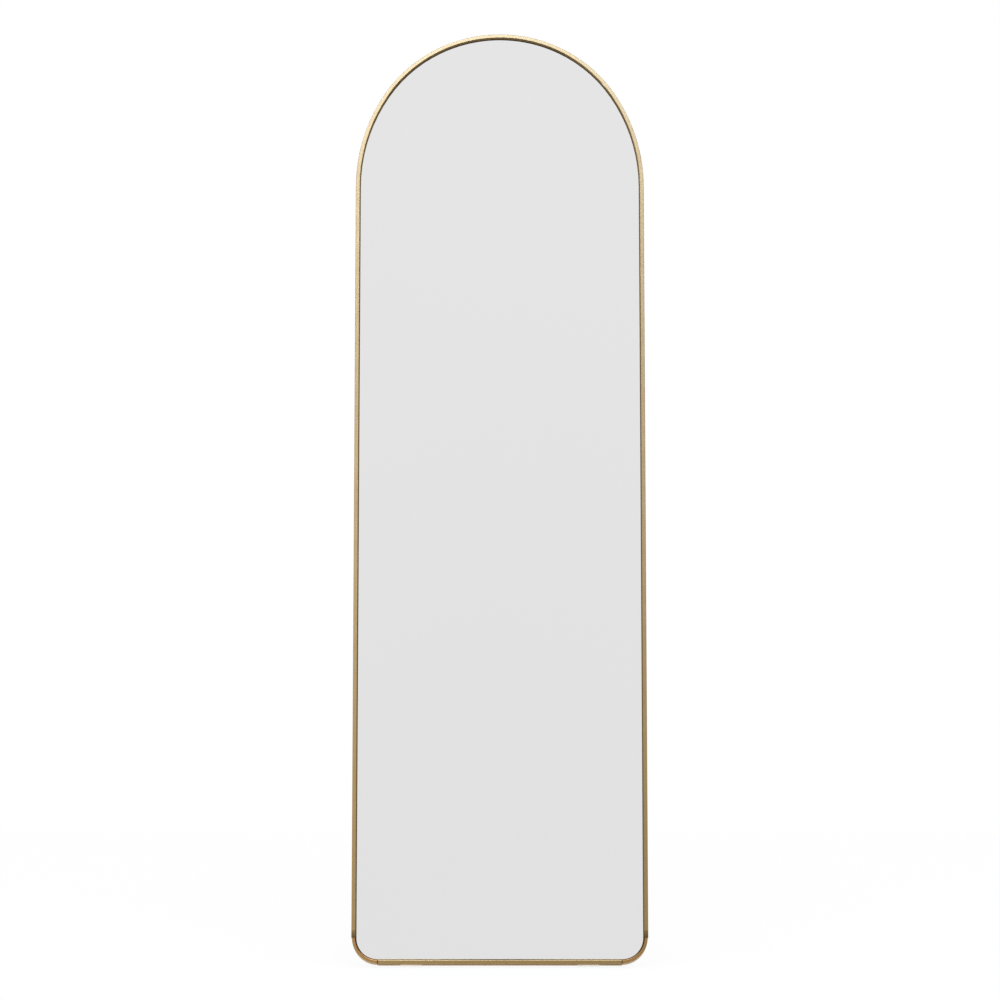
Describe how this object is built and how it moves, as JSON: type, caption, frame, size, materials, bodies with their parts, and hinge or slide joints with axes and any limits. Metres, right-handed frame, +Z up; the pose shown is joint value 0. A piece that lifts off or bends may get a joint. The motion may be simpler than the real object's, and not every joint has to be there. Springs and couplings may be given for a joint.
{
  "type": "leaning floor mirror",
  "caption": "Arched full-length mirror in a slim gold metal frame, leaning back on a U-shaped steel stand that hinges on the side rails and folds flat into the frame's back.",
  "frame": {"origin": "middle of the footprint of the standing mirror, on the floor", "axes": "+Z up, the glass faces -Y and leans back towards +Y, +X to the right when looking at the glass"},
  "size_m": [0.5, 0.339, 1.6007],
  "materials": {
    "frame_gold": "satin champagne-gold anodised extrusion",
    "elbow_gold": "satin champagne-gold plated zinc casting",
    "mirror_glass": "silvered float glass",
    "black_tape": "black foam glazing tape",
    "grey_film": "grey safety film",
    "white_foam": "white foam sheet",
    "back_board": "dark faced fibreboard",
    "zinc_steel": "zinc-plated stamped steel",
    "zinc_screws": "zinc-plated steel",
    "white_nylon": "natural nylon",
    "brace_aluminium": "mill-finish aluminium channel",
    "black_nylon": "moulded black nylon",
    "stand_gold": "champagne-gold lacquered steel tube",
    "black_rubber": "black rubber",
    "clear_rubber": "clear soft rubber"
  },
  "bodies": {
    "mirror": {"arch_rail": "frame_gold", "bottom_rail": "frame_gold", "left_corner": "elbow_gold", "right_corner": "elbow_gold", "corner_screws": "zinc_screws", "glazing_tape": "black_tape", "mirror_glass": "mirror_glass", "safety_film": "grey_film", "foam_sheet": "white_foam", "back_board": "back_board", "left_bracket": "zinc_steel", "right_bracket": "zinc_steel", "bracket_screws": "zinc_screws", "left_pivot_rivet": "zinc_screws", "right_pivot_rivet": "zinc_screws", "pivot_washers": "white_nylon", "back_brace": "brace_aluminium", "brace_screws": "zinc_screws", "left_hanger": "zinc_steel", "right_hanger": "zinc_steel", "hanger_screws": "zinc_screws", "left_foot_pad": "clear_rubber", "right_foot_pad": "clear_rubber"},
    "stand": {"left_leg_end": "black_nylon", "right_leg_end": "black_nylon", "leg_rivets": "zinc_screws", "stand_tube": "stand_gold", "left_foot_sleeve": "black_rubber", "right_foot_sleeve": "black_rubber"}
  },
  "joints": [
    {"name": "stand_fold", "type": "hinge", "parent": "mirror", "child": "stand", "pos_m": [0, 0.05323, 1.03332], "axis": [-1, 0, 0], "range_deg": [0, 17]}
  ]
}
